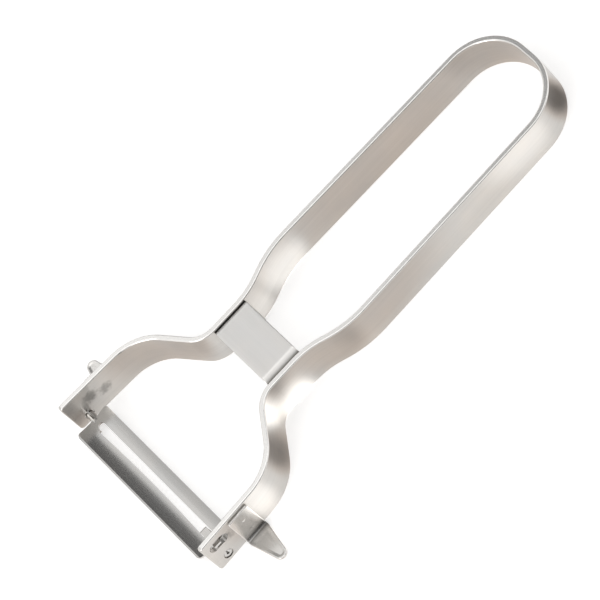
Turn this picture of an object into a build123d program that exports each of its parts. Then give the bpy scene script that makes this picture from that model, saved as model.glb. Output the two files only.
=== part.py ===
from build123d import *
import math
import os

# Stainless Y-shaped vegetable peeler with a swivel blade and an eye remover on each arm.
# All lengths are in millimetres and all angles in degrees.
# X runs across the blade, Y from the blade to the handle's loop, and Z out of the front.
# The peeler lies on its back edges at Z = 0, with the origin in the middle of its footprint.
# While it is being shaped, Y is counted from the ends of the two arms.

# Frame strip: one flat bar, bent on its flat
STRIP_WIDTH = 12.0
STRIP_THICK = 1.5
STRIP_EDGE_ROUND = 0.35
ARM_END_CORNER = 1.0
FRAME_LENGTH = 140.9
ARM_CLEAR_SPAN = 57.3
ARM_SPLAY_ANGLE = 2.9
ARM_STRAIGHT = 18.4
SHOULDER_BEND = 14.5
SHOULDER_RUN = 8.1
NECK_ENTRY_BEND = 7.1
NECK_CLEAR_SPAN = 22.3
NECK_STRAIGHT = 8.0
NECK_EXIT_BEND = 20.7
FLARE_RUN = 2.1
HANDLE_BEND = 28.1
HANDLE_CLEAR_SPAN = 30.9
HANDLE_TAPER_ANGLE = 0.8
LOOP_END_FLAT = 4.3

# Blade pivot and its stop
PIVOT_FROM_ARM_END = 4.1
PIVOT_FROM_BACK = 2.55
PIVOT_HOLE_RADIUS = 1.4
PIVOT_CLEARANCE = 0.3
STOP_RADIUS = 6.1
STOP_SLOT_WIDTH = 3.0
STOP_SLOT_SWEEP_ANGLE = 27.0
STOP_SLOT_LEAN_ANGLE = 4.0

# Neck collar: a folded sheet between the legs
COLLAR_LENGTH = 10.9
COLLAR_SHEET = 1.0
COLLAR_BEND_INSIDE = 0.4
COLLAR_PROUD = 0.3
COLLAR_SET_BACK = 0.8
COLLAR_SHIFT = 0.9
COLLAR_EDGE_ROUND = 0.15

# Eye removers: a bent sheet tongue on the outside of each arm
EYE_SHEET = 0.8
EYE_PLATE_WIDTH = 6.6
EYE_FROM_ARM_END = 9.0
EYE_BELOW_FRONT = 1.0
EYE_PLATE_CORNER = 0.5
EYE_BEND_INSIDE = 0.6
EYE_SHOULDER_RUN = 0.6
EYE_SHOULDER_ROUND = 2.5
EYE_REACH = 11.4
EYE_TIP_RADIUS = 1.7
EYE_RIM_ROUND = 0.2
EYE_DISH_FROM_TIP = 0.9
EYE_DISH_DEPTH = 0.3
EYE_DISH_LENGTH = 7.6
EYE_DISH_WIDTH = 3.2
WELD_MARK_RADIUS = 0.45
WELD_MARK_DEPTH = 0.15
WELD_MARK_SPACING = 4.4
WELD_MARKS_FROM_BACK = 5.7

# Swivel blade: one pressed sheet with a slot
BLADE_SHEET = 0.7
BLADE_END_GAP = 2.6
BLADE_FRONT_REACH = 6.05
BLADE_REAR_REACH = 4.45
BLADE_FRONT_CORNER = 1.2
BLADE_REAR_CORNER = 1.0
TROUGH_RADIUS = 20.0
TROUGH_FORWARD = 1.1
TROUGH_RISE = 0.5
BLADE_END_LENGTH = 2.15
SLOT_WIDTH = 1.95
SLOT_FORWARD = 0.95
SLOT_END_FLAT = 0.15
EDGE_SHORT_OF_SLOT = 1.75
EDGE_CROWN = 0.45
EDGE_BEVEL_WIDTH = 1.9
EDGE_LAND = 0.12
RIM_BEVEL_WIDTH = 0.5
RIM_LAND = 0.3
JOURNAL_ROOT = 0.8
JOURNAL_SEAM = 0.4
JOURNAL_INSET = 0.2
TONGUE_WIDTH = 1.95
TONGUE_BEND_INSIDE = 0.3
LUG_PROUD = 0.3

# Cuts run past the metal by this much
OVERRUN = 1.0

# A straight edge runs across when more than this share of its direction is along X
ACROSS_SHARE = 0.9

# Places worked out from the sizes above
ARM_X = (ARM_CLEAR_SPAN + STRIP_THICK) / 2
NECK_X = (NECK_CLEAR_SPAN + STRIP_THICK) / 2
LEG_X = (HANDLE_CLEAR_SPAN + STRIP_THICK) / 2
PIVOT_Y = PIVOT_FROM_ARM_END
PIVOT_Z = PIVOT_FROM_BACK
PIVOT_X = ARM_X - PIVOT_Y * math.tan(math.radians(ARM_SPLAY_ANGLE))
ARM_HALF_THICK = STRIP_THICK / 2 / math.cos(math.radians(ARM_SPLAY_ANGLE))
ARM_INNER_X = PIVOT_X - ARM_HALF_THICK
ARM_OUTER_X = PIVOT_X + ARM_HALF_THICK
BLADE_HALF = ARM_INNER_X - BLADE_END_GAP
BLADE_FRONT_Y = PIVOT_Y - BLADE_FRONT_REACH
BLADE_REAR_Y = PIVOT_Y + BLADE_REAR_REACH
SLOT_HALF = BLADE_HALF - BLADE_END_LENGTH
SLOT_CORNER = (SLOT_WIDTH - SLOT_END_FLAT) / 2
EDGE_HALF = SLOT_HALF - EDGE_SHORT_OF_SLOT
TROUGH_Y = PIVOT_Y - TROUGH_FORWARD
TROUGH_CENTRE_Z = PIVOT_Z + TROUGH_RISE + TROUGH_RADIUS
BLADE_TOP_RADIUS = TROUGH_RADIUS - BLADE_SHEET / 2
BLADE_UNDER_RADIUS = TROUGH_RADIUS + BLADE_SHEET / 2
JOURNAL_RADIUS = PIVOT_HOLE_RADIUS - PIVOT_CLEARANCE
FOOTPRINT_MID_Y = (BLADE_FRONT_Y + FRAME_LENGTH) / 2


def swing_angle(leaning_bend, upright_bend, run, sideways, lean_angle):
    """Angle to Y of a straight run between two opposite bends that move the strip sideways.

    The leaning bend ends at lean_angle to Y and the upright bend ends along Y.
    """
    both = leaning_bend + upright_bend
    remaining = upright_bend + leaning_bend * math.cos(math.radians(lean_angle)) - sideways
    return math.degrees(math.acos(remaining / math.hypot(both, run)) - math.atan2(run, both))


def end_of(steps):
    """Where a list of runs and bends ends, when it starts at the right arm's end."""
    x, y, heading = ARM_X, 0.0, math.radians(90 + ARM_SPLAY_ANGLE)
    for radius, amount in steps:
        if radius is None:
            x += amount * math.cos(heading)
            y += amount * math.sin(heading)
            continue
        turned = heading + math.radians(amount)
        signed = math.copysign(radius, amount)
        x += signed * (math.sin(turned) - math.sin(heading))
        y -= signed * (math.cos(turned) - math.cos(heading))
        heading = turned
    return x, y


def fork_steps():
    """Runs and bends of the strip's centre line, from the right arm's end to the neck.

    Each step is (None, length) for a straight run or (radius, angle) for a bend, left positive.
    """
    arm = [(None, ARM_STRAIGHT)]
    sideways = end_of(arm)[0] - NECK_X
    swing = swing_angle(SHOULDER_BEND, NECK_ENTRY_BEND, SHOULDER_RUN, sideways, ARM_SPLAY_ANGLE)
    return arm + [
        (SHOULDER_BEND, swing - ARM_SPLAY_ANGLE),
        (None, SHOULDER_RUN),
        (NECK_ENTRY_BEND, -swing),
    ]


def strip_steps():
    """Runs and bends of the strip's centre line, from the right arm's end to the loop's middle."""
    flare = swing_angle(HANDLE_BEND, NECK_EXIT_BEND, FLARE_RUN, LEG_X - NECK_X, HANDLE_TAPER_ANGLE)
    steps = fork_steps() + [
        (None, NECK_STRAIGHT),
        (NECK_EXIT_BEND, -flare),
        (None, FLARE_RUN),
        (HANDLE_BEND, flare + HANDLE_TAPER_ANGLE),
    ]
    taper = math.radians(HANDLE_TAPER_ANGLE)
    leg_x, leg_y = end_of(steps)
    rise = FRAME_LENGTH - STRIP_THICK / 2 - leg_y
    inward = leg_x - LOOP_END_FLAT / 2 - rise * math.tan(taper)
    loop_bend = inward / (math.cos(taper) - math.tan(taper) * (1 - math.sin(taper)))
    leg = (rise - loop_bend * (1 - math.sin(taper))) / math.cos(taper)
    return steps + [
        (None, leg),
        (loop_bend, 90 - HANDLE_TAPER_ANGLE),
        (None, LOOP_END_FLAT / 2),
    ]


def strip_side(outward):
    """Edges of the right half's line, moved outward from the centre line."""
    edges = []
    spot = Vector(ARM_X, 0) + Vector(outward, 0).rotate(Axis.Z, ARM_SPLAY_ANGLE)
    heading = 90 + ARM_SPLAY_ANGLE
    for radius, amount in strip_steps():
        ahead = Vector(1, 0).rotate(Axis.Z, heading)
        if radius is None:
            end = spot + ahead * amount
            edges.append(Edge.make_line(spot, end))
        else:
            side = math.copysign(1, amount)
            true_radius = radius + side * outward
            centre = spot + ahead.rotate(Axis.Z, 90) * side * true_radius
            arc = CenterArc(centre, true_radius, heading - side * 90, amount)
            edges.append(arc)
            heading += amount
            end = arc @ 1
        spot = end
    return edges


def strip_outline():
    """Closed outline of the bent strip, seen from the front."""
    outer = strip_side(STRIP_THICK / 2)
    inner = strip_side(-STRIP_THICK / 2)
    end_cap = Edge.make_line(inner[0] @ 0, outer[0] @ 0)
    half = outer + inner + [end_cap]
    return make_face(half + [mirror(edge, about=Plane.YZ) for edge in half])


def is_level(edge, height):
    """True where the whole edge lies at one height."""
    box = edge.bounding_box()
    return max(abs(box.min.Z - height), abs(box.max.Z - height)) < STRIP_EDGE_ROUND / 2


def runs_across(edge):
    """True for a straight edge that lies along X, give or take the arms' splay."""
    return edge.geom_type == GeomType.LINE and abs((edge % 0).X) > ACROSS_SHARE


def arm_hole(radius, side):
    """Drill for the blade's pivot through the arm on one side."""
    hole = Cylinder(radius, STRIP_THICK + 2 * OVERRUN, rotation=(0, 90, 0))
    return Pos(side * PIVOT_X, PIVOT_Y, PIVOT_Z) * hole


def stop_slot():
    """Cutter for the curved slot in the right arm, concentric with the pivot."""
    middle = 90 - STOP_SLOT_LEAN_ANGLE
    half_sweep = STOP_SLOT_SWEEP_ANGLE / 2
    centre_line = CenterArc((0, 0), STOP_RADIUS, middle - half_sweep, STOP_SLOT_SWEEP_ANGLE)
    outline = SlotArc(centre_line, STOP_SLOT_WIDTH)
    cutter = extrude(Plane.YZ * outline, STRIP_THICK + 2 * OVERRUN)
    return Pos(ARM_INNER_X - OVERRUN, PIVOT_Y, PIVOT_Z) * cutter


def make_frame_strip():
    """The bent bar with its pivot holes and stop slot."""
    bar = extrude(strip_outline(), STRIP_WIDTH)
    ends = [e for e in bar.edges() if runs_across(e) and abs(e.center().Y) < ARM_END_CORNER]
    bar = fillet(ends, ARM_END_CORNER)
    soft = []
    for edge in bar.edges():
        level = is_level(edge, 0) or is_level(edge, STRIP_WIDTH)
        at_end = edge.center().Y < ARM_END_CORNER
        if (level or at_end) and not runs_across(edge):
            soft.append(edge)
    bar = fillet(soft, STRIP_EDGE_ROUND)
    for side in (-1, 1):
        bar -= arm_hole(PIVOT_HOLE_RADIUS, side)
    bar -= stop_slot()
    return bar


def arch_face(half, low, high, bend):
    """Face under a flat-topped arch with two round corners."""
    line = FilletPolyline((-half, low), (-half, high), (half, high), (half, low), radius=bend)
    return make_face(line.edges() + [Edge.make_line((half, low), (-half, low))])


def make_neck_collar():
    """Folded sheet between the legs, open at the back and at both ends."""
    neck_start = end_of(fork_steps())[1]
    middle_y = neck_start + NECK_STRAIGHT / 2 + COLLAR_SHIFT
    front_z = STRIP_WIDTH + COLLAR_PROUD
    half = NECK_CLEAR_SPAN / 2
    outside = arch_face(half, COLLAR_SET_BACK, front_z, COLLAR_BEND_INSIDE + COLLAR_SHEET)
    inside = arch_face(
        half - COLLAR_SHEET, COLLAR_SET_BACK - OVERRUN, front_z - COLLAR_SHEET, COLLAR_BEND_INSIDE)
    solid = extrude(Plane.XZ * (outside - inside), COLLAR_LENGTH / 2, both=True)
    front = solid.faces().sort_by(Axis.Z)[-1]
    solid = fillet([e for e in front.edges() if runs_across(e)], COLLAR_EDGE_ROUND)
    return Pos(0, middle_y, 0) * solid


def eye_plate():
    """Plate that lies on the arm, with the bend at its back edge, X counted from the arm."""
    outside = EYE_BEND_INSIDE + EYE_SHEET
    plate_top = STRIP_WIDTH - EYE_BELOW_FRONT
    section = make_face([
        Edge.make_line((0, plate_top), (0, outside)),
        CenterArc((outside, outside), outside, 180, 90),
        Edge.make_line((outside, 0), (outside, EYE_SHEET)),
        CenterArc((outside, outside), EYE_BEND_INSIDE, 180, 90),
        Edge.make_line((EYE_SHEET, outside), (EYE_SHEET, plate_top)),
        Edge.make_line((EYE_SHEET, plate_top), (0, plate_top)),
    ])
    plate = extrude(Plane.XZ * section, EYE_PLATE_WIDTH / 2, both=True)
    top = plate.faces().sort_by(Axis.Z)[-1]
    plate = fillet([e for e in top.edges() if runs_across(e)], EYE_PLATE_CORNER)
    root = plate.faces().sort_by(Axis.X)[-1]
    kept = list(root.edges()) + [e for e in plate.edges() if is_crease(e) or is_across_sheet(e)]
    return fillet([e for e in plate.edges() if e not in kept], EYE_RIM_ROUND)


def is_crease(edge):
    """True for an edge that runs over the eye remover's whole plate width."""
    return abs(edge.bounding_box().size.Y - EYE_PLATE_WIDTH) < EYE_RIM_ROUND


def is_across_sheet(edge):
    """True for an edge that runs through the eye remover's sheet."""
    return edge.geom_type == GeomType.LINE and abs(edge.length - EYE_SHEET) < EYE_RIM_ROUND / 2


def eye_tongue():
    """Flat tongue from the bend out to its round tip, drawn in from the plate's width."""
    half = EYE_PLATE_WIDTH / 2
    root_x = EYE_BEND_INSIDE + EYE_SHEET
    shoulder_x = root_x + EYE_SHOULDER_RUN
    tip_x = EYE_REACH - EYE_TIP_RADIUS
    length = tip_x - shoulder_x
    lean = math.atan2(half, length) - math.asin(EYE_TIP_RADIUS / math.hypot(half, length))
    touch_x = tip_x + EYE_TIP_RADIUS * math.sin(lean)
    touch_y = EYE_TIP_RADIUS * math.cos(lean)
    outline = make_face([
        Edge.make_line((root_x, -half), (shoulder_x, -half)),
        Edge.make_line((shoulder_x, -half), (touch_x, -touch_y)),
        ThreePointArc((touch_x, -touch_y), (EYE_REACH, 0), (touch_x, touch_y)),
        Edge.make_line((touch_x, touch_y), (shoulder_x, half)),
        Edge.make_line((shoulder_x, half), (root_x, half)),
        Edge.make_line((root_x, half), (root_x, -half)),
    ])
    shoulders = [v for v in outline.vertices() if abs(v.X - shoulder_x) < EYE_SHOULDER_RUN / 2]
    tongue = extrude(fillet(shoulders, EYE_SHOULDER_ROUND), EYE_SHEET)
    rim = []
    for face in (tongue.faces().sort_by(Axis.Z)[0], tongue.faces().sort_by(Axis.Z)[-1]):
        root = face.edges().sort_by(Axis.X)[0]
        rim += [e for e in face.edges() if e != root]
    return fillet(rim, EYE_RIM_ROUND)


def eye_dish():
    """Cutter for the long shallow dish in the tongue's front."""
    long_radius = EYE_DISH_LENGTH ** 2 / (8 * EYE_DISH_DEPTH)
    cross_radius = EYE_DISH_WIDTH ** 2 / (8 * EYE_DISH_DEPTH)
    ring = Torus(long_radius - cross_radius, cross_radius, rotation=(90, 0, 0))
    middle_x = EYE_REACH - EYE_DISH_FROM_TIP - EYE_DISH_LENGTH / 2
    ring = Pos(middle_x, 0, EYE_SHEET - EYE_DISH_DEPTH + long_radius) * ring
    return ring & Pos(middle_x, 0, EYE_SHEET / 2) * Box(EYE_DISH_LENGTH, EYE_DISH_WIDTH, EYE_SHEET)


def make_eye_remover(side):
    """Plate on the arm with a dished tongue that stands out at its back edge."""
    piece = eye_plate() + eye_tongue() - eye_dish()
    mark_x = EYE_SHEET + WELD_MARK_RADIUS - WELD_MARK_DEPTH
    for up in (-1, 1):
        mark_z = WELD_MARKS_FROM_BACK + up * WELD_MARK_SPACING / 2
        piece -= Pos(mark_x, 0, mark_z) * Sphere(WELD_MARK_RADIUS)
    on_arm = Pos(STRIP_THICK / 2, EYE_FROM_ARM_END + EYE_PLATE_WIDTH / 2, 0)
    placed = Pos(ARM_X, 0, 0) * Rot(0, 0, ARM_SPLAY_ANGLE) * on_arm * piece
    return placed if side > 0 else mirror(placed, about=Plane.YZ)


def trough_height(y, radius):
    """Height of the blade's trough at a place in Y, for a surface of the given radius."""
    return TROUGH_CENTRE_Z - math.sqrt(radius ** 2 - (y - TROUGH_Y) ** 2)


def trough_sheet():
    """The pressed sheet before it is slotted: a shallow trough along X, open to the front."""
    ends = (BLADE_FRONT_Y, BLADE_REAR_Y)
    over = [(y, trough_height(y, BLADE_TOP_RADIUS)) for y in ends]
    below = [(y, trough_height(y, BLADE_UNDER_RADIUS)) for y in ends]
    section = make_face([
        ThreePointArc(over[0], (TROUGH_Y, TROUGH_CENTRE_Z - BLADE_TOP_RADIUS), over[1]),
        Edge.make_line(over[1], below[1]),
        ThreePointArc(below[1], (TROUGH_Y, TROUGH_CENTRE_Z - BLADE_UNDER_RADIUS), below[0]),
        Edge.make_line(below[0], over[0]),
    ])
    return extrude(Plane.YZ * section, BLADE_HALF, both=True)


def blade_plan():
    """Plan of the blade's plate, with rounded corners."""
    depth = BLADE_REAR_Y - BLADE_FRONT_Y
    plan = Pos(0, BLADE_FRONT_Y + depth / 2) * Rectangle(2 * BLADE_HALF, depth)
    front = plan.vertices().group_by(Axis.Y)[0]
    plan = fillet(front, BLADE_FRONT_CORNER)
    rear = plan.vertices().group_by(Axis.Y)[-1]
    return fillet(rear, BLADE_REAR_CORNER)


def edge_line():
    """The crowned cutting edge in plan: its middle, the height of its ends and its radius."""
    middle_y = PIVOT_Y - SLOT_FORWARD
    end_y = middle_y - EDGE_CROWN
    radius = (EDGE_HALF ** 2 + EDGE_CROWN ** 2) / (2 * EDGE_CROWN)
    return middle_y, end_y, radius


def slot_plan():
    """Plan of the slot, wider where the cutting edge is ground back beside its crown."""
    middle_y, end_y, _ = edge_line()
    inside_y = middle_y + SLOT_WIDTH / 2
    slot = Pos(0, inside_y) * RectangleRounded(2 * SLOT_HALF, SLOT_WIDTH, SLOT_CORNER)
    ground = make_face([
        ThreePointArc((-EDGE_HALF, end_y), (0, middle_y), (EDGE_HALF, end_y)),
        Edge.make_line((EDGE_HALF, end_y), (EDGE_HALF, inside_y)),
        Edge.make_line((EDGE_HALF, inside_y), (-EDGE_HALF, inside_y)),
        Edge.make_line((-EDGE_HALF, inside_y), (-EDGE_HALF, end_y)),
    ])
    return slot + ground


def edge_bevel():
    """Cutter for the bevel under the cutting edge, turned about the centre of the edge's curve."""
    middle_y, _, radius = edge_line()
    start_y = middle_y - EDGE_BEVEL_WIDTH
    start_z = trough_height(start_y, BLADE_UNDER_RADIUS)
    edge_z = trough_height(middle_y, BLADE_TOP_RADIUS) - EDGE_LAND
    slope = (edge_z - start_z) / EDGE_BEVEL_WIDTH
    past_y = middle_y + SLOT_WIDTH / 2
    low_z = start_z - OVERRUN
    wedge = make_face(Polyline(
        (start_y, start_z), (past_y, edge_z + slope * (past_y - middle_y)), (past_y, low_z),
        (start_y, low_z), close=True))
    axis = Axis((0, middle_y - radius, 0), (0, 0, 1))
    half_turn = math.degrees(math.asin(EDGE_HALF / radius))
    cutter = revolve(Plane.YZ * wedge, axis, revolution_arc=2 * half_turn)
    return cutter.rotate(axis, -half_turn)


def rim_bevel():
    """Cutter for the ground bevel along the blade's front rim."""
    start_y = BLADE_FRONT_Y + RIM_BEVEL_WIDTH
    start_z = trough_height(start_y, BLADE_TOP_RADIUS)
    rim_z = trough_height(BLADE_FRONT_Y, BLADE_UNDER_RADIUS) + RIM_LAND
    slope = (start_z - rim_z) / RIM_BEVEL_WIDTH
    low_y = BLADE_FRONT_Y - OVERRUN
    high_z = start_z + OVERRUN
    wedge = make_face(Polyline(
        (start_y, start_z), (low_y, rim_z - slope * OVERRUN), (low_y, high_z), (start_y, high_z), close=True))
    return extrude(Plane.YZ * wedge, BLADE_HALF + OVERRUN, both=True)


def journal(side):
    """Rolled journal from the plate's end to just short of the arm's outer face."""
    start = BLADE_HALF - JOURNAL_ROOT
    length = ARM_OUTER_X - JOURNAL_INSET - start
    return Pos(side * (start + length / 2), PIVOT_Y, PIVOT_Z) * Rot(0, 90, 0) * Cylinder(JOURNAL_RADIUS, length)


def journal_hollow(side):
    """A journal's bore, and the open seam along its top."""
    length = ARM_OUTER_X - BLADE_HALF
    bore = Cylinder(JOURNAL_RADIUS - BLADE_SHEET, length)
    seam = Pos(-JOURNAL_RADIUS, 0) * Box(2 * JOURNAL_RADIUS, JOURNAL_SEAM, length)
    return Pos(side * (BLADE_HALF + length / 2), PIVOT_Y, PIVOT_Z) * Rot(0, 90, 0) * (bore + seam)


def stop_tongue():
    """Strip bent up out of the slot's right end and out through the stop slot."""
    top_z = PIVOT_Z + STOP_RADIUS + BLADE_SHEET / 2
    low_z = trough_height(PIVOT_Y, TROUGH_RADIUS)
    root_x = SLOT_HALF
    end_x = ARM_OUTER_X + LUG_PROUD
    outside = TONGUE_BEND_INSIDE + BLADE_SHEET
    corner = (root_x + outside, top_z - outside)
    face = make_face([
        Edge.make_line((root_x, low_z), (root_x, corner[1])),
        CenterArc(corner, outside, 180, -90),
        Edge.make_line((corner[0], top_z), (end_x, top_z)),
        Edge.make_line((end_x, top_z), (end_x, top_z - BLADE_SHEET)),
        Edge.make_line((end_x, top_z - BLADE_SHEET), (corner[0], top_z - BLADE_SHEET)),
        CenterArc(corner, TONGUE_BEND_INSIDE, 90, 90),
        Edge.make_line((root_x + BLADE_SHEET, corner[1]), (root_x + BLADE_SHEET, low_z)),
        Edge.make_line((root_x + BLADE_SHEET, low_z), (root_x, low_z)),
    ])
    return Pos(0, PIVOT_Y, 0) * extrude(Plane.XZ * face, TONGUE_WIDTH / 2, both=True)


def make_swivel_blade():
    """The blade with its slot, cutting edge, rolled journals and stop tongue."""
    plan = extrude(Pos(0, 0, -STRIP_WIDTH) * (blade_plan() - slot_plan()), 2 * STRIP_WIDTH)
    blade = trough_sheet() & plan
    blade -= edge_bevel()
    blade -= rim_bevel()
    for side in (-1, 1):
        blade += journal(side)
    for side in (-1, 1):
        blade -= journal_hollow(side)
    return blade + stop_tongue()


PIECES = {
    "frame_strip": make_frame_strip(),
    "neck_collar": make_neck_collar(),
    "swivel_blade": make_swivel_blade(),
    "left_eye_remover": make_eye_remover(-1),
    "right_eye_remover": make_eye_remover(1),
}

os.makedirs("parts", exist_ok=True)
for name, piece in PIECES.items():
    export_step(Pos(0, -FOOTPRINT_MID_Y, 0) * piece, f"parts/{name}.step")
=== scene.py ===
"""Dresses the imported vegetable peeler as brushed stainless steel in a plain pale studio.

The peeler is five pieces of sheet and strip: the bent strip frame, the folded neck collar, the swivel blade
and an eye remover on each arm. Everything is in metres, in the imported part's own frame: X across the blade,
Y from the blade to the handle's loop, and Z out of the front.
"""

import logging
import math
from dataclasses import dataclass
from enum import Enum

import bpy
import numpy as np
from mathutils import Euler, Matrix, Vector

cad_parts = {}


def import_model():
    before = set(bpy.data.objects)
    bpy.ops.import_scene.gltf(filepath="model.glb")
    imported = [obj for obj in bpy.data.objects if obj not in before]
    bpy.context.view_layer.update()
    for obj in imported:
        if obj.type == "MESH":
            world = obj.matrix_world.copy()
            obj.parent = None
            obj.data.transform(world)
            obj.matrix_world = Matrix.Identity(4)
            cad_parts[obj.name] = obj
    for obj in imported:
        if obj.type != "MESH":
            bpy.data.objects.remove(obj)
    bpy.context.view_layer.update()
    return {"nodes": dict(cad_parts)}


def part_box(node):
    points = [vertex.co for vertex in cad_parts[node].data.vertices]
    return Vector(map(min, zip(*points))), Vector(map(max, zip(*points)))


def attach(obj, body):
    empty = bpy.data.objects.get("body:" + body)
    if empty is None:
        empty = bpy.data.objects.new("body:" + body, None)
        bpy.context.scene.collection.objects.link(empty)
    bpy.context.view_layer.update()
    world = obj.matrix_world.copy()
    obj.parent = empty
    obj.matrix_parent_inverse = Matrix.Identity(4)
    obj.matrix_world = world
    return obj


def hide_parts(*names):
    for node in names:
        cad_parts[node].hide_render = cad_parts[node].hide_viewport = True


LOG = logging.getLogger("peeler")
MM = 0.001
QUARTER = math.pi / 2

# Two faces that meet at more than this angle keep a sharp edge between them.
SHARP_ANGLE = math.radians(40)

# Most of a noise pattern's values lie between these, so it is spread from here to the limits that it drives.
GRAIN_LIMITS = {"From Min": 0.28, "From Max": 0.72}

# A Mix node's colour inputs and colour output by number, because its number sockets have the same names.
MIX_FIRST, MIX_SECOND, MIX_RESULT = 6, 7, 2

Pair = tuple[float, float]
Triple = tuple[float, float, float]
Socket = bpy.types.NodeSocket
Nodes = dict[str, bpy.types.Object]


def linear(colour: str) -> tuple[float, float, float, float]:
    """Turns an sRGB hex colour into the linear colour that the shaders take.

    Args:
        colour: Six hex digits after a hash, such as "#c8c6c3".

    Returns:
        Linear red, green and blue, and an alpha of 1.
    """
    parts = [int(colour[i:i + 2], 16) / 255 for i in (1, 3, 5)]
    bent = [c / 12.92 if c <= 0.04045 else ((c + 0.055) / 1.055) ** 2.4 for c in parts]
    return (*bent, 1.0)


def eased(share: np.ndarray) -> np.ndarray:
    """Eases shares from 0 to 1 by three times their square less twice their cube.

    Args:
        share: The plain shares.

    Returns:
        The eased shares, level at both ends.
    """
    return share ** 2 * (3 - 2 * share)


class Graph:
    """The node tree of one material or world."""

    def __init__(self, owner: bpy.types.Material | bpy.types.World) -> None:
        """Empties the owner's node tree.

        Args:
            owner: The material or world that gets the nodes.
        """
        owner.use_nodes = True
        self.tree = owner.node_tree
        self.tree.nodes.clear()

    def add(self, kind: str, inputs: dict | None = None, **settings: object) -> bpy.types.Node:
        """Adds a node with its settings, values and links.

        Args:
            kind: The node's type, such as "ShaderNodeMath".
            inputs: A value or another node's output for each input, by the input's name or number.
            settings: The node's own properties.

        Returns:
            The new node.
        """
        node = self.tree.nodes.new(kind)
        for name, value in settings.items():
            setattr(node, name, value)
        for name, value in (inputs or {}).items():
            if isinstance(value, Socket):
                self.tree.links.new(value, node.inputs[name])
            else:
                node.inputs[name].default_value = value
        return node


@dataclass(frozen=True)
class Grain:
    """A random pattern in the steel, drawn at a real size.

    Attributes:
        sizes: The grain's sizes along X, Y and Z in metres.
        octaves: How many finer octaves it has.
        fall: How much of an octave's strength the next finer one keeps.
    """

    sizes: Triple
    octaves: float
    fall: float = 0.6

    def build(self, graph: Graph, place: Socket) -> Socket:
        """Adds the pattern: noise over the coordinates divided by the grain's sizes.

        Args:
            graph: The material's nodes.
            place: The object's own coordinates.

        Returns:
            The pattern, between 0 and 1.
        """
        counts = tuple(1 / size for size in self.sizes)
        spread = graph.add("ShaderNodeMapping", {"Vector": place, "Scale": counts})
        return graph.add(
            "ShaderNodeTexNoise",
            {"Vector": spread.outputs["Vector"], "Scale": 1.0, "Detail": self.octaves,
             "Roughness": self.fall}).outputs["Fac"]


@dataclass(frozen=True)
class HeatMark:
    """A round patch with a ragged edge that a spot weld's heat has left on the steel.

    Attributes:
        place: The patch's middle.
        radius: Its radius.
        depth: How much of the steel's brightness it takes at its core, as a share.
        core: The core's radius, as a share of the patch's.
        ragged: How far the edge wanders, as a share of the radius.
        lump: Size of the edge's lumps, as a share of the radius.
    """

    place: Triple
    radius: float
    depth: float = 0.42
    core: float = 0.2
    ragged: float = 0.3
    lump: float = 0.4

    def share(self, graph: Graph, place: Socket) -> Socket:
        """Finds how much brightness the mark leaves at a point, from its ragged distance to the middle.

        Args:
            graph: The material's nodes.
            place: The object's own coordinates.

        Returns:
            1 away from the mark, and less inside it.
        """
        wander = self.ragged * self.radius
        lumps = Grain((self.lump * self.radius,) * 3, octaves=3.0).build(graph, place)
        lumps = graph.add(
            "ShaderNodeMapRange", {"Value": lumps, **GRAIN_LIMITS, "To Min": -wander, "To Max": wander})
        away = graph.add("ShaderNodeVectorMath", {0: place, 1: self.place}, operation="DISTANCE")
        away = graph.add("ShaderNodeMath", {0: away.outputs["Value"], 1: lumps.outputs["Result"]})
        return graph.add(
            "ShaderNodeMapRange",
            {"Value": away.outputs["Value"], "From Min": self.core * self.radius, "From Max": self.radius,
             "To Min": 1 - self.depth, "To Max": 1.0},
            interpolation_type="SMOOTHSTEP").outputs["Result"]


class Brushing(Enum):
    """Which way a finish's brush lines run, as their length along X, Y and Z in metres.

    A real brush line is a few hundredths of a millimetre wide. It is drawn coarser so that it shows.
    """

    ALONG_STRIP = (24 * MM, 24 * MM, 0.26 * MM)
    ALONG_BLADE = (16 * MM, 0.24 * MM, 16 * MM)
    ACROSS_COLLAR = (14 * MM, 0.26 * MM, 14 * MM)
    ALONG_TONGUE = (7 * MM, 0.3 * MM, 0.5 * MM)


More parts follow.
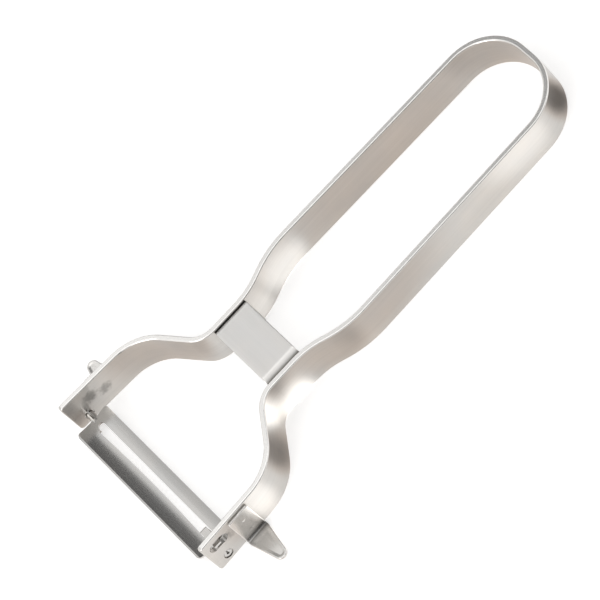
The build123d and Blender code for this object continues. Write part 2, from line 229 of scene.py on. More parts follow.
@dataclass(frozen=True)
class BrushedSteel:
    """Stainless steel (AISI 304 or 420) brushed with an abrasive belt.

    Belt brushing leaves fine parallel lines that widen highlights across the lines and a slightly uneven tone
    where the belt pressed harder. Its edges are rolled or tumbled, and are lightened as wear and as a painted
    highlight.

    Attributes:
        name: The material's name.
        colour: The bare metal's colour.
        warm: The colour of its warmer patches.
        roughness: Middle roughness of the brushed faces.
        brushing: Which way the brush lines run.
        streak_depth: How much the brush lines lighten and darken the metal, as a share.
        rough_swing: How far the brush lines move the roughness up and down.
        bump_share: Strength of the brush lines' bump.
        bump_depth: Real depth of a brush line, in metres.
        marks: The heat marks of its spot welds.
        painted_shade_depth: How much brightness the painted shade in a tight bend takes, as a share.
        edge_wear_and_sheen: Heights of the lower and upper edges lightened as wear and painted highlight, or
            None where the piece has none.
        edge_wear_and_sheen_colour: The edges' colour, lighter than the metal as wear and as a painted
            highlight.
        edge_roughness: The worn edges' roughness.
        edge_width: How far a lightened edge reaches over the face.
        band_length: Length of the broad bands that the belt's passes leave.
        band_width: Width of those bands.
        band_tones: The darkest and the lightest band, as shares of the metal's colour.
        patch_size: Size of the patches that uneven pressure leaves.
        patch_tones: The darkest and the lightest patch, as shares of the metal's colour.
    """

    name: str
    colour: str
    warm: str
    roughness: float
    brushing: Brushing
    streak_depth: float
    rough_swing: float = 0.03
    bump_share: float = 0.25
    bump_depth: float = 0.01 * MM
    marks: tuple[HeatMark, ...] = ()
    painted_shade_depth: float = 0.0
    edge_wear_and_sheen: Pair | None = None
    edge_wear_and_sheen_colour: str = "#f6f4f1"
    edge_roughness: float = 0.22
    edge_width: float = 0.45 * MM
    band_length: float = 70 * MM
    band_width: float = 2.2 * MM
    band_tones: Pair = (0.965, 1.03)
    patch_size: float = 13 * MM
    patch_tones: Pair = (0.97, 1.03)

    def tone(self, graph: Graph, place: Socket, lines: Socket, patches: Socket) -> Socket:
        """Multiplies all that lightens or darkens the metal: lines, bands, patches, heat marks and painted
        shade in bends.

        Args:
            graph: The material's nodes.
            place: The object's own coordinates.
            lines: The brush lines' pattern.
            patches: The uneven patches' pattern.

        Returns:
            The share of the metal's colour that shows.
        """
        sizes = tuple(self.band_length if size > MM else self.band_width for size in self.brushing.value)
        bands = Grain(sizes, octaves=2.0).build(graph, place)
        shares = []
        for pattern, (low, high) in (
                (lines, (1 - self.streak_depth, 1 + self.streak_depth)),
                (bands, self.band_tones),
                (patches, self.patch_tones)):
            shares.append(graph.add(
                "ShaderNodeMapRange",
                {"Value": pattern, **GRAIN_LIMITS, "To Min": low, "To Max": high}).outputs["Result"])
        shares += [mark.share(graph, place) for mark in self.marks]
        # Painted shade in tight bends, read from a point attribute of the mesh.
        if self.painted_shade_depth:
            painted_bend_shade = graph.add("ShaderNodeAttribute", attribute_name="painted_bend_shade").outputs["Fac"]
            shares.append(graph.add(
                "ShaderNodeMapRange",
                {"Value": painted_bend_shade, "To Min": 1.0, "To Max": 1 - self.painted_shade_depth}).outputs["Result"])
        tone = shares[0]
        for share in shares[1:]:
            tone = graph.add("ShaderNodeMath", {0: tone, 1: share}, operation="MULTIPLY").outputs["Value"]
        return tone

    def edge_share(self, graph: Graph, place: Socket) -> Socket:
        """Finds how near a point is to either lightened edge, part wear and part painted highlight.

        Args:
            graph: The material's nodes.
            place: The object's own coordinates.

        Returns:
            1 on an edge, falling smoothly to 0 at the edge's width.
        """
        height = graph.add("ShaderNodeSeparateXYZ", {"Vector": place}).outputs["Z"]
        low, high = self.edge_wear_and_sheen
        sides = []
        for edge, inner in ((low, low + self.edge_width), (high, high - self.edge_width)):
            sides.append(graph.add(
                "ShaderNodeMapRange",
                {"Value": height, "From Min": edge, "From Max": inner, "To Min": 1.0, "To Max": 0.0},
                interpolation_type="SMOOTHSTEP").outputs["Result"])
        return graph.add("ShaderNodeMath", {0: sides[0], 1: sides[1]}, operation="MAXIMUM").outputs["Value"]

    def build(self) -> bpy.types.Material:
        """Makes the material.

        Returns:
            The finished material.
        """
        material = bpy.data.materials.new(self.name)
        graph = Graph(material)
        place = graph.add("ShaderNodeTexCoord").outputs["Object"]
        lines = Grain(self.brushing.value, octaves=4.0).build(graph, place)
        patches = Grain((self.patch_size,) * 3, octaves=2.0).build(graph, place)
        warmth = graph.add(
            "ShaderNodeMapRange", {"Value": patches, **GRAIN_LIMITS, "To Min": 0.0, "To Max": 1.0})
        tint = graph.add(
            "ShaderNodeMix",
            {"Factor": warmth.outputs["Result"], MIX_FIRST: linear(self.colour),
             MIX_SECOND: linear(self.warm)},
            data_type="RGBA").outputs[MIX_RESULT]
        tone = self.tone(graph, place, lines, patches)
        metal = graph.add(
            "ShaderNodeVectorMath", {0: tint, "Scale": tone}, operation="SCALE").outputs["Vector"]
        rough = graph.add(
            "ShaderNodeMapRange",
            {"Value": lines, **GRAIN_LIMITS, "To Min": self.roughness - self.rough_swing,
             "To Max": self.roughness + self.rough_swing}).outputs["Result"]
        # Edges lightened towards near white: part rubbed wear, part painted highlight.
        if self.edge_wear_and_sheen:
            edge = self.edge_share(graph, place)
            metal = graph.add(
                "ShaderNodeMix", {"Factor": edge, MIX_FIRST: metal, MIX_SECOND: linear(self.edge_wear_and_sheen_colour)},
                data_type="RGBA").outputs[MIX_RESULT]
            rough = graph.add(
                "ShaderNodeMapRange",
                {"Value": edge, "To Min": rough, "To Max": self.edge_roughness}).outputs["Result"]
        bump = graph.add(
            "ShaderNodeBump", {"Strength": self.bump_share, "Distance": self.bump_depth, "Height": lines})
        shader = graph.add(
            "ShaderNodeBsdfPrincipled",
            {"Base Color": metal, "Metallic": 1.0, "Roughness": rough, "Normal": bump.outputs["Normal"]})
        graph.add("ShaderNodeOutputMaterial", {"Surface": shader.outputs["BSDF"]})
        return material


def dress(node: bpy.types.Object, finish: BrushedSteel) -> None:
    """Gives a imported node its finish.

    Args:
        node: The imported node's object.
        finish: The finish it takes.
    """
    material = finish.build()
    for slot in node.material_slots:
        slot.link = "OBJECT"
        slot.material = material
    LOG.info("%s dressed in %s", node.name, finish.name)


def build_sheet(
        node: str, finish: BrushedSteel, rings: np.ndarray, painted_bend_shade: np.ndarray,
        flipped: bool = False) -> None:
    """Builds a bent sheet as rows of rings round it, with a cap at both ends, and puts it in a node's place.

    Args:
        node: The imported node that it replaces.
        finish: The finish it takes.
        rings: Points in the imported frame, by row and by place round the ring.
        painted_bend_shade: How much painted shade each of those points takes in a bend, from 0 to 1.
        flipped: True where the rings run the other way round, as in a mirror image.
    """
    count, around = rings.shape[:2]
    ring = np.arange(around)
    starts = np.arange(count - 1)[:, None] * around
    first, after = starts + ring, starts + (ring + 1) % around
    sides = np.stack([first, first + around, after + around, after], axis=2).reshape(-1, 4)
    caps = np.stack([ring, (count - 1) * around + ring[::-1]])
    if flipped:
        sides, caps = sides[:, ::-1], caps[:, ::-1]
    mesh = bpy.data.meshes.new(f"{node}_sheet")
    mesh.from_pydata(rings.reshape(-1, 3).tolist(), [], sides.tolist() + caps.tolist())
    mesh.shade_smooth()
    mesh.set_sharp_from_angle(angle=SHARP_ANGLE)
    # Painted shade in bends, kept on each point for the finish to darken by.
    layer = mesh.attributes.new("painted_bend_shade", "FLOAT", "POINT")
    layer.data.foreach_set("value", painted_bend_shade.astype(np.float32).ravel())
    mesh.materials.append(finish.build())
    piece = bpy.data.objects.new(f"{node}_sheet", mesh)
    bpy.context.scene.collection.objects.link(piece)
    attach(piece, "frame")
    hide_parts(node)
    LOG.info("%s built in %s: %d vertices", piece.name, finish.name, len(mesh.vertices))


@dataclass
class StripFrame:
    """The one bent strip that is both arms, the neck and the handle's loop.

    Attributes:
        node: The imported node.
        width: The strip's width, which is its height over the table.
        arm_inner_x: Where the arms' inner faces are.
        weld_places: Y and Z of the spot welds that hold an eye remover to an arm.
        weld_radius: Radius of a weld's heat mark.
    """

    node: str = "frame_strip"
    width: float = 12 * MM
    arm_inner_x: float = 28.44 * MM
    weld_places: tuple[Pair, ...] = ((-58.0 * MM, 5.85 * MM), (-62.0 * MM, 7.7 * MM))
    weld_radius: float = 2.6 * MM

    def finish(self) -> BrushedSteel:
        """Describes belt-brushed strip with rolled edges, lightened as wear and painted highlight, and the
        eye removers' heat marks.

        Returns:
            The strip's finish.
        """
        marks = tuple(
            HeatMark((side * self.arm_inner_x, y, z), self.weld_radius)
            for side in (-1, 1) for y, z in self.weld_places)
        # The strip's long edges are lightened as rubbed wear and as a painted highlight.
        return BrushedSteel(
            "brushed_strip_steel", "#c9c7c4", "#ccc7c1", 0.31, Brushing.ALONG_STRIP, streak_depth=0.045,
            edge_wear_and_sheen=(0.0, self.width), marks=marks)

    def build(self, nodes: Nodes) -> None:
        """Dresses the strip.

        Args:
            nodes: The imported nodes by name.
        """
        dress(nodes[self.node], self.finish())


@dataclass
class NeckCollar:
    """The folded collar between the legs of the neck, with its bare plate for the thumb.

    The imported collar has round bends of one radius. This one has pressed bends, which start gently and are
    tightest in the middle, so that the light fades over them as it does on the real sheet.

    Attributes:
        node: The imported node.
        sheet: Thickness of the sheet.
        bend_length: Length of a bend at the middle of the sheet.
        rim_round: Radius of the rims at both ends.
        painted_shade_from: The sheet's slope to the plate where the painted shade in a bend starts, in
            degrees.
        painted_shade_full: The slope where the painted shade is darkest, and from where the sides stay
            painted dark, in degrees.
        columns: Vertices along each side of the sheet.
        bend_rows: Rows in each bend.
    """

    node: str = "neck_collar"
    sheet: float = 1.0 * MM
    bend_length: float = 3.5 * MM
    rim_round: float = 0.16 * MM
    painted_shade_from: float = 35.0
    painted_shade_full: float = 65.0
    columns: int = 40
    bend_rows: int = 60

    def finish(self) -> BrushedSteel:
        """Describes finely satined sheet, brushed across the plate, with painted shade in the bends and on
        the sides.

        Returns:
            The collar's finish.
        """
        return BrushedSteel(
            "satin_collar_steel", "#e3e2e0", "#e3e0dc", 0.33, Brushing.ACROSS_COLLAR, streak_depth=0.014,
            rough_swing=0.012, bump_share=0.1, painted_shade_depth=0.65)

    def path(self, half: float, rise: float) -> tuple[np.ndarray, np.ndarray, np.ndarray]:
        """Follows the middle of the sheet up one side, across the plate and down the other side.

        Its heading falls by a quarter turn in each bend, eased along the bend, and its place is the sum of
        the steps in that heading.

        Args:
            half: Half the distance between the sides.
            rise: The plate's height over the sides' ends.

        Returns:
            Rows of distances across and up from the first side's end, and of headings.
        """
        turn = QUARTER * (1 - eased(np.linspace(0, 1, self.bend_rows)))
        step = self.bend_length / (self.bend_rows - 1)
        middles = (turn[1:] + turn[:-1]) / 2
        out = np.concatenate([[0], np.cumsum(np.cos(middles) * step)])
        up = np.concatenate([[0], np.cumsum(np.sin(middles) * step)])
        left = np.stack([out, rise - up[-1] + up, turn])
        left = np.concatenate([[[0], [0], [QUARTER]], left], axis=1)
        right = np.stack([2 * half - left[0], left[1], -left[2]])[:, ::-1]
        return tuple(np.concatenate([left, right], axis=1))

    def build(self) -> None:
        """Builds the collar: half the sheet to each side of the path, less a quarter circle at the rims."""
        low, high = (np.array(corner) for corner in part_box(self.node))
        middle = self.sheet / 2
        out, up, turn = self.path((high[0] - low[0]) / 2 - middle, high[2] - low[2] - middle)
        reach = (high[1] - low[1]) / 2
        across = reach * np.cos(np.linspace(0, math.pi, self.columns))
        into = np.clip(self.rim_round - (reach - np.abs(across)), 0, None)
        height = middle - self.rim_round + np.sqrt(self.rim_round ** 2 - into ** 2)
        height = np.concatenate([height, -height])
        across = np.concatenate([across, across[::-1]])
        x = low[0] + middle + out[:, None] - height * np.sin(turn)[:, None]
        z = low[2] + up[:, None] + height * np.cos(turn)[:, None]
        y = np.broadcast_to((low[1] + high[1]) / 2 + across, x.shape)
        # Painted shade: the bends darken past a given slope and the sides stay painted dark.
        slope = np.degrees(np.abs(turn))
        painted_bend_shade = np.clip((slope - self.painted_shade_from) / (self.painted_shade_full - self.painted_shade_from), 0, 1)
        build_sheet(
            self.node, self.finish(), np.stack([x, y, z], axis=2),
            np.broadcast_to(painted_bend_shade[:, None], x.shape))


@dataclass
class EyeRemovers:
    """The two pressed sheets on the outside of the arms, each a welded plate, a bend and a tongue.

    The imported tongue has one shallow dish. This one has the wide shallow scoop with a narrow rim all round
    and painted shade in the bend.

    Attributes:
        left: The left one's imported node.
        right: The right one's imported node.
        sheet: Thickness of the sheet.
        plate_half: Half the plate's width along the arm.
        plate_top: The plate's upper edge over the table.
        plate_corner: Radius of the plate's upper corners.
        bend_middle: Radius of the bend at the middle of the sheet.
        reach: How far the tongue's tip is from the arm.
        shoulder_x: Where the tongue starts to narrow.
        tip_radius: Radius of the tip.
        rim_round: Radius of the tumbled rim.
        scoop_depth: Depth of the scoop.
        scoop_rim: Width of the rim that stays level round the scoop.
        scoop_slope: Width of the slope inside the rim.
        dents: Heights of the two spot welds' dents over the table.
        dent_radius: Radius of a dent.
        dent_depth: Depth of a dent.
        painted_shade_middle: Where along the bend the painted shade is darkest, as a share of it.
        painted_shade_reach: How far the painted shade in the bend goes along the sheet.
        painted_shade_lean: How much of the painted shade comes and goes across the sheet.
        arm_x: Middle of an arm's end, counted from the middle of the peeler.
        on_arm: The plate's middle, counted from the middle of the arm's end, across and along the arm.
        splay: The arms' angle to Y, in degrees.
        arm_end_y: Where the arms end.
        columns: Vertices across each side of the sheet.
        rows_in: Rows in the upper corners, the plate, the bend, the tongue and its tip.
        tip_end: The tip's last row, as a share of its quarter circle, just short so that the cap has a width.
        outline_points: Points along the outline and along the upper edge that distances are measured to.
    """

    left: str = "left_eye_remover"
    right: str = "right_eye_remover"
    sheet: float = 0.8 * MM
    plate_half: float = 3.3 * MM
    plate_top: float = 11.0 * MM
    plate_corner: float = 0.5 * MM
    bend_middle: float = 1.0 * MM
    reach: float = 11.4 * MM
    shoulder_x: float = 2.0 * MM
    tip_radius: float = 1.7 * MM
    rim_round: float = 0.22 * MM
    scoop_depth: float = 0.10 * MM
    scoop_rim: float = 0.3 * MM
    scoop_slope: float = 0.9 * MM
    dents: Pair = (3.5 * MM, 7.9 * MM)
    dent_radius: float = 0.32 * MM
    dent_depth: float = 0.15 * MM
    painted_shade_middle: float = 0.7
    painted_shade_reach: float = 1.35 * MM
    painted_shade_lean: float = 0.25
    arm_x: float = 29.4 * MM
    on_arm: Pair = (0.75 * MM, 12.3 * MM)
    splay: float = 2.9
    arm_end_y: float = -69.475 * MM
    columns: int = 48
    rows_in: tuple[int, int, int, int, int] = (16, 60, 30, 90, 40)
    tip_end: float = 0.9995
    outline_points: tuple[int, int] = (1400, 60)

    def finish(self) -> BrushedSteel:
        """Describes pressed sheet, tumbled after pressing, with painted shade in the bend.

        Returns:
            The eye removers' finish.
        """
        return BrushedSteel(
            "pressed_sheet_steel", "#e4e2df", "#e4e0db", 0.24, Brushing.ALONG_TONGUE, streak_depth=0.012,
            rough_swing=0.012, bump_share=0.04, painted_shade_depth=0.8)

    def lengths(self) -> Triple:
        """Finds where the flat sheet's parts end, counted from the plate's upper edge.

        Returns:
            The end of the plate, the end of the bend and the middle of the tip's circle.
        """
        outside = self.bend_middle + self.sheet / 2
        plate_end = self.plate_top - outside
        bend_end = plate_end + self.bend_middle * QUARTER
        return plate_end, bend_end, bend_end + self.reach - self.tip_radius - outside

    def rows(self) -> np.ndarray:
        """Spaces rows along the flat sheet, closer together at the upper edge, the bend and the tip.

        Returns:
            The rows' distances from the plate's upper edge.
        """
        in_corner, in_plate, in_bend, in_tongue, in_tip = self.rows_in
        plate_end, bend_end, tip_middle = self.lengths()
        return np.concatenate([
            self.plate_corner * (1 - np.cos(np.linspace(0, QUARTER, in_corner))),
            np.linspace(self.plate_corner, plate_end, in_plate)[1:],
            np.linspace(plate_end, bend_end, in_bend)[1:],
            np.linspace(bend_end, tip_middle, in_tongue)[1:],
            tip_middle + self.tip_radius * np.sin(np.linspace(0, self.tip_end * QUARTER, in_tip))[1:],
        ])

    def half_widths(self, along: np.ndarray) -> np.ndarray:
        """Finds the flat sheet's half width: round corners, straight sides, a straight taper and a round tip.

        Args:
            along: Distances from the plate's upper edge.

        Returns:
            The half width at each distance.
        """
        _, bend_end, tip_middle = self.lengths()
        shoulder = bend_end + self.shoulder_x - self.bend_middle - self.sheet / 2
        length = tip_middle - shoulder
        lean = math.atan2(self.plate_half, length) - math.asin(
            self.tip_radius / math.hypot(self.plate_half, length))
        width = np.minimum(self.plate_half, self.plate_half - (along - shoulder) * math.tan(lean))
        tip = np.sqrt(np.clip(self.tip_radius ** 2 - (along - tip_middle) ** 2, 0, None))
        width = np.where(along > tip_middle + self.tip_radius * math.sin(lean), tip, width)
        into = np.clip(self.plate_corner - along, 0, None)
        return width - self.plate_corner + np.sqrt(self.plate_corner ** 2 - into ** 2)

    def to_outline(self, along: np.ndarray, across: np.ndarray) -> np.ndarray:
        """Measures how far inside its outline the flat sheet's points are, to closely spaced points on it.

        Args:
            along: Distances from the plate's upper edge, a row for each.
            across: Places across the sheet, a row for each distance.

        Returns:
            The distance to the outline at each point.
        """
        on_rim, on_top = self.outline_points
        rim = np.linspace(0, self.rows()[-1], on_rim)
        half = self.half_widths(rim)
        rim = np.concatenate([np.zeros(on_top), rim])
        half = np.concatenate([np.linspace(0, half[0], on_top), half])
        away = np.hypot(along[:, None, None] - rim, np.abs(across)[:, :, None] - half)
        return away.min(axis=2)

    def heights(
            self, along: np.ndarray, across: np.ndarray, inside: np.ndarray) -> tuple[np.ndarray, np.ndarray]:
        """Finds both surfaces of the flat sheet.

        Each is half the sheet from the middle, less a quarter circle at the rim. The front one is also lower
        by the scoop, which starts past the bend and slopes down inside the rim, and by the round dents.

        Args:
            along: Distances from the plate's upper edge.
            across: Places across the sheet.
            inside: Distances to the outline.

        Returns:
            Heights of the front surface and of the back surface over the middle of the sheet.
        """
        _, bend_end, _ = self.lengths()
        into = np.clip(self.rim_round - inside, 0, None)
        plain = self.sheet / 2 - self.rim_round + np.sqrt(self.rim_round ** 2 - into ** 2)
        rise = np.clip((inside - self.scoop_rim) / self.scoop_slope, 0, 1)
        run = np.clip((along[:, None] - bend_end) / (2 * self.scoop_slope), 0, 1)
        scoop = self.scoop_depth * eased(rise) * eased(run)
        for height in self.dents:
            away = np.hypot(along[:, None] - (self.plate_top - height), across)
            scoop = scoop + self.dent_depth * np.exp(-((away / self.dent_radius) ** 2))
        return plain - scoop, -plain

    def bend(self, along: np.ndarray, across: np.ndarray, height: np.ndarray) -> np.ndarray:
        """Bends the flat sheet: down the arm, round a quarter turn, then straight out.

        Args:
            along: Distances from the plate's upper edge.
            across: Places across the sheet.
            height: Heights over the middle of the sheet.

        Returns:
            Points out from the arm, along it and over the table.
        """
        plate_end, bend_end, _ = self.lengths()
        outside = self.bend_middle + self.sheet / 2
        turn = np.clip((along - plate_end) / self.bend_middle, 0, QUARTER)[:, None]
        radius = self.bend_middle - height
        out = outside - radius * np.cos(turn) + np.clip(along - bend_end, 0, None)[:, None]
        up = outside - radius * np.sin(turn) + np.clip(plate_end - along, 0, None)[:, None]
        return np.stack([out, across, up], axis=2)

    def painted_bend_shade(self, along: np.ndarray, across: np.ndarray) -> np.ndarray:
        """Finds the painted shade in the bend: a bell curve along the sheet that leans to one side across it.

        Args:
            along: Distances from the plate's upper edge.
            across: Places across the sheet.

        Returns:
            The painted shade at each point, from 0 to 1.
        """
        plate_end, bend_end, _ = self.lengths()
        away = (along - plate_end - self.painted_shade_middle * (bend_end - plate_end)) / self.painted_shade_reach
        side = 1 - self.painted_shade_lean + self.painted_shade_lean * across / self.plate_half
        return np.exp(-away ** 2)[:, None] * side

    def place(self, points: np.ndarray, side: int) -> np.ndarray:
        """Puts points on the right arm, turned with its splay, or on the left arm as their mirror image.

        Args:
            points: Points out from the arm, along it and over the table.
            side: 1 for the right arm and -1 for the left.

        Returns:
            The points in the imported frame.
        """
        angle = math.radians(self.splay)
        out = points[..., 0] + self.on_arm[0]
        along = points[..., 1] + self.on_arm[1]
        x = self.arm_x + out * math.cos(angle) - along * math.sin(angle)
        y = self.arm_end_y + out * math.sin(angle) + along * math.cos(angle)
        return np.stack([side * x, y, points[..., 2]], axis=-1)

    def build(self) -> None:
        """Builds both eye removers, each a ring across the front and back across the rear for every row."""
        along = self.rows()
        across = self.half_widths(along)[:, None] * np.cos(np.linspace(0, math.pi, self.columns))
        front, back = self.heights(along, across, self.to_outline(along, across))
        surfaces = [self.bend(along, across, front), self.bend(along, across, back)[:, ::-1]]
        rings = np.concatenate(surfaces, axis=1)
        # Painted shade in the bend, leaning to one side across the sheet.
        painted_bend_shade = self.painted_bend_shade(along, rings[:, :, 1])
        for node, side in ((self.left, -1), (self.right, 1)):
            build_sheet(node, self.finish(), self.place(rings, side), painted_bend_shade, side < 0)


@dataclass
class SwivelBlade:
    """The slotted blade with its rolled journals and stop tongue.

    Attributes:
        node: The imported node.
    """

    node: str = "swivel_blade"

    def finish(self) -> BrushedSteel:
        """Describes blade steel ground along its length, too finely for the grinding to raise the surface.

        Returns:
            The blade's finish.
        """
        return BrushedSteel(
            "ground_blade_steel", "#cdccca", "#cecbc7", 0.17, Brushing.ALONG_BLADE, streak_depth=0.02,
            rough_swing=0.008, bump_share=0.0)

    def build(self, nodes: Nodes) -> None:
        """Dresses the blade.

        Args:
            nodes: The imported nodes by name.
        """
        dress(nodes[self.node], self.finish())


@dataclass(frozen=True)
class PhotoView:
    """The camera at the photograph's viewing angle.

    Attributes:
        place: The lens's place, in metres.
        turn: The camera's XYZ Euler angles, in degrees.
        focal_length: Focal length in millimetres.
        sensor_width: The sensor's width in millimetres.
        sight: How far it sees, in metres.
    """

    place: Triple = (0.707177, -0.006943, 0.9822)
    turn: Triple = (26.3558, 25.5257, 49.2232)
    focal_length: float = 300.726
    sensor_width: float = 36.0
    sight: float = 20.0

    def build(self) -> None:
        """Adds the camera and makes it the scene's own."""
        data = bpy.data.cameras.new("photo_camera")
        data.lens = self.focal_length
        data.sensor_width = self.sensor_width
        data.clip_end = self.sight
        camera = bpy.data.objects.new("photo_camera", data)
        camera.location = self.place
        camera.rotation_euler = Euler([math.radians(angle) for angle in self.turn])
        bpy.context.scene.collection.objects.link(camera)
        bpy.context.scene.camera = camera


@dataclass(frozen=True)
class SoftLamp:
    """A square softbox.

    Attributes:
        name: The lamp's name.
        place: Its middle.
        size: Its side.
        power: Its power in watts.
        reflected: Whether the metal shows it.
    """

    name: str
    place: Triple
    size: float
    power: float
    reflected: bool = True

    def build(self) -> None:
        """Adds the lamp, facing the peeler."""
        data = bpy.data.lights.new(self.name, "AREA")
        data.size = self.size
        data.energy = self.power
        lamp = bpy.data.objects.new(self.name, data)
        lamp.location = self.place
        lamp.visible_glossy = self.reflected
        lamp.rotation_euler = Vector(self.place).to_track_quat("Z", "Y").to_euler()
        bpy.context.scene.collection.objects.link(lamp)


def stage_sheet(
        name: str, middle: Triple, level: np.ndarray, rising: np.ndarray,
        material: bpy.types.Material) -> bpy.types.Object:
    """Adds a flat rectangle to the studio, its corners at the middle plus and minus each half side.

    Args:
        name: Its name.
        middle: Its middle.
        level: Half of one side, as an arrow.
        rising: Half of the other side, as an arrow.
        material: What it is made of.

    Returns:
        The rectangle's object.
    """
    signs = np.array([(-1, -1), (1, -1), (1, 1), (-1, 1)])
    corners = np.array(middle) + signs[:, :1] * level + signs[:, 1:] * rising
    mesh = bpy.data.meshes.new(name)
    mesh.from_pydata(corners.tolist(), [], [(0, 1, 2, 3)])
    mesh.materials.append(material)
    sheet = bpy.data.objects.new(name, mesh)
    bpy.context.scene.collection.objects.link(sheet)
    return sheet


@dataclass(frozen=True)
class ReflectedCard:
    """A dark or lit card beside the set, which only the metal's reflections see.

    Attributes:
        name: The card's name.
        place: Its middle.
        facing: The direction it faces.
        width: Its width, level and square to the direction it faces.
        height: Its other side.
        tone: Its grey, from 0 for black, or over 1 for a lit card.
    """

    name: str
    place: Triple
    facing: Triple
    width: float
    height: float
    tone: float

    def build(self) -> None:
        """Adds the card and hides it from all rays but reflections."""
        material = bpy.data.materials.new(self.name)
        graph = Graph(material)
        glow = graph.add("ShaderNodeEmission", {"Color": (self.tone, self.tone, self.tone, 1.0)})
        graph.add("ShaderNodeOutputMaterial", {"Surface": glow.outputs["Emission"]})
        facing = np.array(self.facing) / np.linalg.norm(self.facing)
        level = np.cross((0.0, 0.0, 1.0), facing)
        level /= np.linalg.norm(level)
        rising = np.cross(facing, level)
        card = stage_sheet(
            self.name, self.place, self.width / 2 * level, self.height / 2 * rising, material)
        card.visible_camera = False
        card.visible_diffuse = False
        card.visible_transmission = False
        card.visible_shadow = False


@dataclass(frozen=True)
class PaintedReflectionPatch:
    """A painted reflection: a soft patch of paper that only the metal's reflections see darker or lighter.

    Attributes:
        place: Its middle in X and Y.
        reach: Its half sizes in X and Y.
        change: How much of full white it adds, or takes where it is below zero.
        core: The middle part that has the full change, as a share of the reach.
    """

    place: Pair
    reach: Pair
    change: float
    core: float = 0.35

    def share(self, graph: Graph, place: Socket) -> Socket:
        """Adds the patch to the floor's nodes.

        Args:
            graph: The floor's nodes.
            place: The floor's own coordinates.

        Returns:
            The change, full in the core and falling smoothly to 0 at the reach.
        """
        away = place
        for operation, value in (("SUBTRACT", (*self.place, 0.0)), ("DIVIDE", (*self.reach, 1.0))):
            away = graph.add(
                "ShaderNodeVectorMath", {0: away, 1: value}, operation=operation).outputs["Vector"]
        away = graph.add("ShaderNodeVectorMath", {0: away}, operation="LENGTH").outputs["Value"]
        return graph.add(
            "ShaderNodeMapRange",
            {"Value": away, "From Min": self.core, "From Max": 1.0, "To Min": self.change, "To Max": 0.0},
            interpolation_type="SMOOTHSTEP").outputs["Result"]


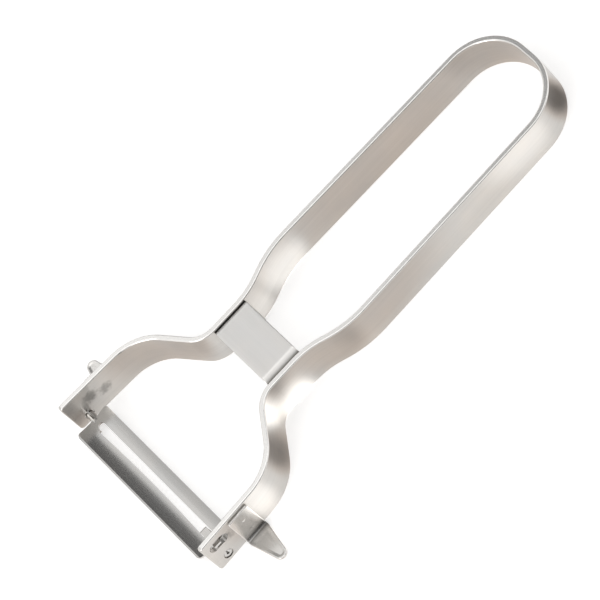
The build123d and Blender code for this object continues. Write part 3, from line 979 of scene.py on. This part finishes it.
@dataclass
class Studio:
    """Pale floor, white surroundings, softboxes and reflected cards.

    Attributes:
        floor_half: Half the floor's side.
        floor_colour: The paper's own colour.
        floor_lift: What the camera and the metal see on top of the lit paper.
        painted_reflection_tones: The paper's painted colours in reflections, by how much of full white is
            left, warm between.
        fill: The surroundings' strength as a light.
        lamps: The softboxes.
        cards: The dark and lit cards.
        painted_reflection_patches: The floor's painted patches in reflections.
    """

    floor_half: float = 3.0
    floor_colour: str = "#e8e7e6"
    floor_lift: float = 0.50
    painted_reflection_tones: tuple[tuple[float, str], ...] = ((0.0, "#302f2f"), (0.7, "#e2dbd6"), (1.0, "#ffffff"))
    fill: float = 0.55
    lamps: tuple[SoftLamp, ...] = (
        SoftLamp("overhead_softbox", (0.05, -0.20, 1.38), 1.0, 3.9, reflected=False),
        SoftLamp("side_softbox", (0.55, -1.2, 0.75), 0.8, 5.0),
    )
    cards: tuple[ReflectedCard, ...] = (
        ReflectedCard("blade_flag", (-1.21, 0.826, 1.599), (0.55, -0.41, -0.73), 1.45, 1.32, 0.15),
        ReflectedCard("rear_bar_flag", (-0.50, -0.72, 0.60), (0.50, 0.65, -0.60), 0.60, 0.60, 0.68),
        ReflectedCard("bend_light", (-0.36, -0.02, 1.15), (0.36, 0.02, -1.15), 0.6, 0.36, 1.5),
        ReflectedCard("camera_flag", (0.82, 0.16, 1.12), (-0.58, -0.12, -0.80), 0.62, 0.5, 0.5),
        ReflectedCard("left_horizon_flag", (-1.2, 0.0, 0.12), (1.0, 0.0, 0.0), 3.0, 0.5, 0.2),
        ReflectedCard("right_horizon_flag", (1.2, 0.0, 0.42), (-1.0, 0.0, 0.0), 3.0, 0.9, 0.14),
    )
    # Painted reflections: patches of paper that only the metal's reflections see darker or lighter.
    painted_reflection_patches: tuple[PaintedReflectionPatch, ...] = (
        PaintedReflectionPatch((-8 * MM, 30 * MM), (17 * MM, 50 * MM), -0.30),
        PaintedReflectionPatch((-3 * MM, 63 * MM), (15 * MM, 11 * MM), -0.25),
        PaintedReflectionPatch((-12 * MM, -5 * MM), (7 * MM, 8 * MM), 0.75),
        PaintedReflectionPatch((-8 * MM, -17 * MM), (5 * MM, 9 * MM), 0.45),
        PaintedReflectionPatch((-13 * MM, -47 * MM), (20 * MM, 15 * MM), -0.42),
        PaintedReflectionPatch((-22 * MM, -70 * MM), (9 * MM, 7 * MM), -0.6),
        PaintedReflectionPatch((26 * MM, 2 * MM), (13 * MM, 30 * MM), -0.28),
        PaintedReflectionPatch((25 * MM, 54 * MM), (10 * MM, 16 * MM), 0.42),
        PaintedReflectionPatch((13 * MM, 74 * MM), (11 * MM, 10 * MM), -0.85),
        PaintedReflectionPatch((20 * MM, -15 * MM), (10 * MM, 12 * MM), -0.3),
        PaintedReflectionPatch((13 * MM, -27 * MM), (6 * MM, 7 * MM), 1.5),
        PaintedReflectionPatch((24 * MM, -32 * MM), (10 * MM, 12 * MM), -0.72),
        PaintedReflectionPatch((35 * MM, -50 * MM), (8 * MM, 9 * MM), 0.6),
        PaintedReflectionPatch((38 * MM, -60 * MM), (9 * MM, 6 * MM), -0.25),
    )

    def seen_directly(self, graph: Graph) -> Socket:
        """Tells rays that look at the white from rays that carry its light.

        Args:
            graph: The nodes it is added to.

        Returns:
            1 for camera, glossy and transmission rays, and 0 for others.
        """
        rays = graph.add("ShaderNodeLightPath").outputs
        looks = graph.add("ShaderNodeMath", {0: rays["Is Camera Ray"], 1: rays["Is Glossy Ray"]})
        return graph.add(
            "ShaderNodeMath", {0: looks.outputs["Value"], 1: rays["Is Transmission Ray"]},
            use_clamp=True).outputs["Value"]

    def painted_reflection_tint(self, graph: Graph) -> Socket:
        """Adds the painted reflection that the patches make of the paper: 1 plus their sum, in reflections
        only, as a colour.

        Args:
            graph: The floor's nodes.

        Returns:
            White for every other ray, and the paper's tone times any share over 1 in reflections.
        """
        place = graph.add("ShaderNodeTexCoord").outputs["Object"]
        shares = [tone.share(graph, place) for tone in self.painted_reflection_patches]
        total = shares[0]
        for share in shares[1:]:
            total = graph.add("ShaderNodeMath", {0: total, 1: share}).outputs["Value"]
        # Painted reflection: the patches and the warm ramp change the paper only for glossy rays.
        glossy = graph.add("ShaderNodeLightPath").outputs["Is Glossy Ray"]
        seen = graph.add(
            "ShaderNodeMath", {0: total, 1: glossy, 2: 1.0}, operation="MULTIPLY_ADD").outputs["Value"]
        ramp = graph.add("ShaderNodeValToRGB", {"Fac": seen})
        stops = ramp.color_ramp.elements
        while len(stops) < len(self.painted_reflection_tones):
            stops.new(1.0)
        for stop, (position, colour) in zip(stops, self.painted_reflection_tones):
            stop.position = position
            stop.color = linear(colour)
        over = graph.add("ShaderNodeMath", {0: seen, 1: 1.0}, operation="MAXIMUM")
        return graph.add(
            "ShaderNodeVectorMath", {0: ramp.outputs["Color"], "Scale": over.outputs["Value"]},
            operation="SCALE").outputs["Vector"]

    def floor_material(self) -> bpy.types.Material:
        """Makes matt white paper, seen at full white with the peeler's shadow, and with painted reflection
        patches.

        Returns:
            The floor's material.
        """
        material = bpy.data.materials.new("matt_white_paper")
        graph = Graph(material)
        tint = self.painted_reflection_tint(graph)
        colour = graph.add(
            "ShaderNodeVectorMath", {0: linear(self.floor_colour)[:3], 1: tint}, operation="MULTIPLY")
        paper = graph.add("ShaderNodeBsdfDiffuse", {"Color": colour.outputs["Vector"]})
        lift = graph.add(
            "ShaderNodeMath", {0: self.seen_directly(graph), 1: self.floor_lift}, operation="MULTIPLY")
        glow = graph.add("ShaderNodeEmission", {"Color": tint, "Strength": lift.outputs["Value"]})
        both = graph.add("ShaderNodeAddShader", {0: paper.outputs["BSDF"], 1: glow.outputs["Emission"]})
        graph.add("ShaderNodeOutputMaterial", {"Surface": both.outputs["Shader"]})
        return material

    def build_floor(self) -> None:
        """Adds the floor, one flat square under the strip's back edges."""
        sides = self.floor_half * np.eye(3)
        stage_sheet("studio_floor", (0.0, 0.0, 0.0), sides[0], sides[1], self.floor_material())

    def build_world(self) -> None:
        """Surrounds the scene with white that the camera and the metal see, and a softer fill light."""
        world = bpy.data.worlds.new("white_studio")
        bpy.context.scene.world = world
        graph = Graph(world)
        strength = graph.add(
            "ShaderNodeMapRange", {"Value": self.seen_directly(graph), "To Min": self.fill, "To Max": 1.0})
        glow = graph.add(
            "ShaderNodeBackground", {"Color": linear("#ffffff"), "Strength": strength.outputs["Result"]})
        graph.add("ShaderNodeOutputWorld", {"Surface": glow.outputs["Background"]})

    def build(self) -> None:
        """Adds the floor, the surroundings, the lamps and the cards."""
        self.build_floor()
        self.build_world()
        for thing in self.lamps + self.cards:
            thing.build()


def main() -> None:
    logging.basicConfig(level=logging.INFO)
    bpy.context.scene.view_settings.view_transform = "Standard"
    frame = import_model()
    PhotoView().build()
    Studio().build()
    StripFrame().build(frame["nodes"])
    NeckCollar().build()
    EyeRemovers().build()
    SwivelBlade().build(frame["nodes"])


if __name__ == "__main__":
    main()
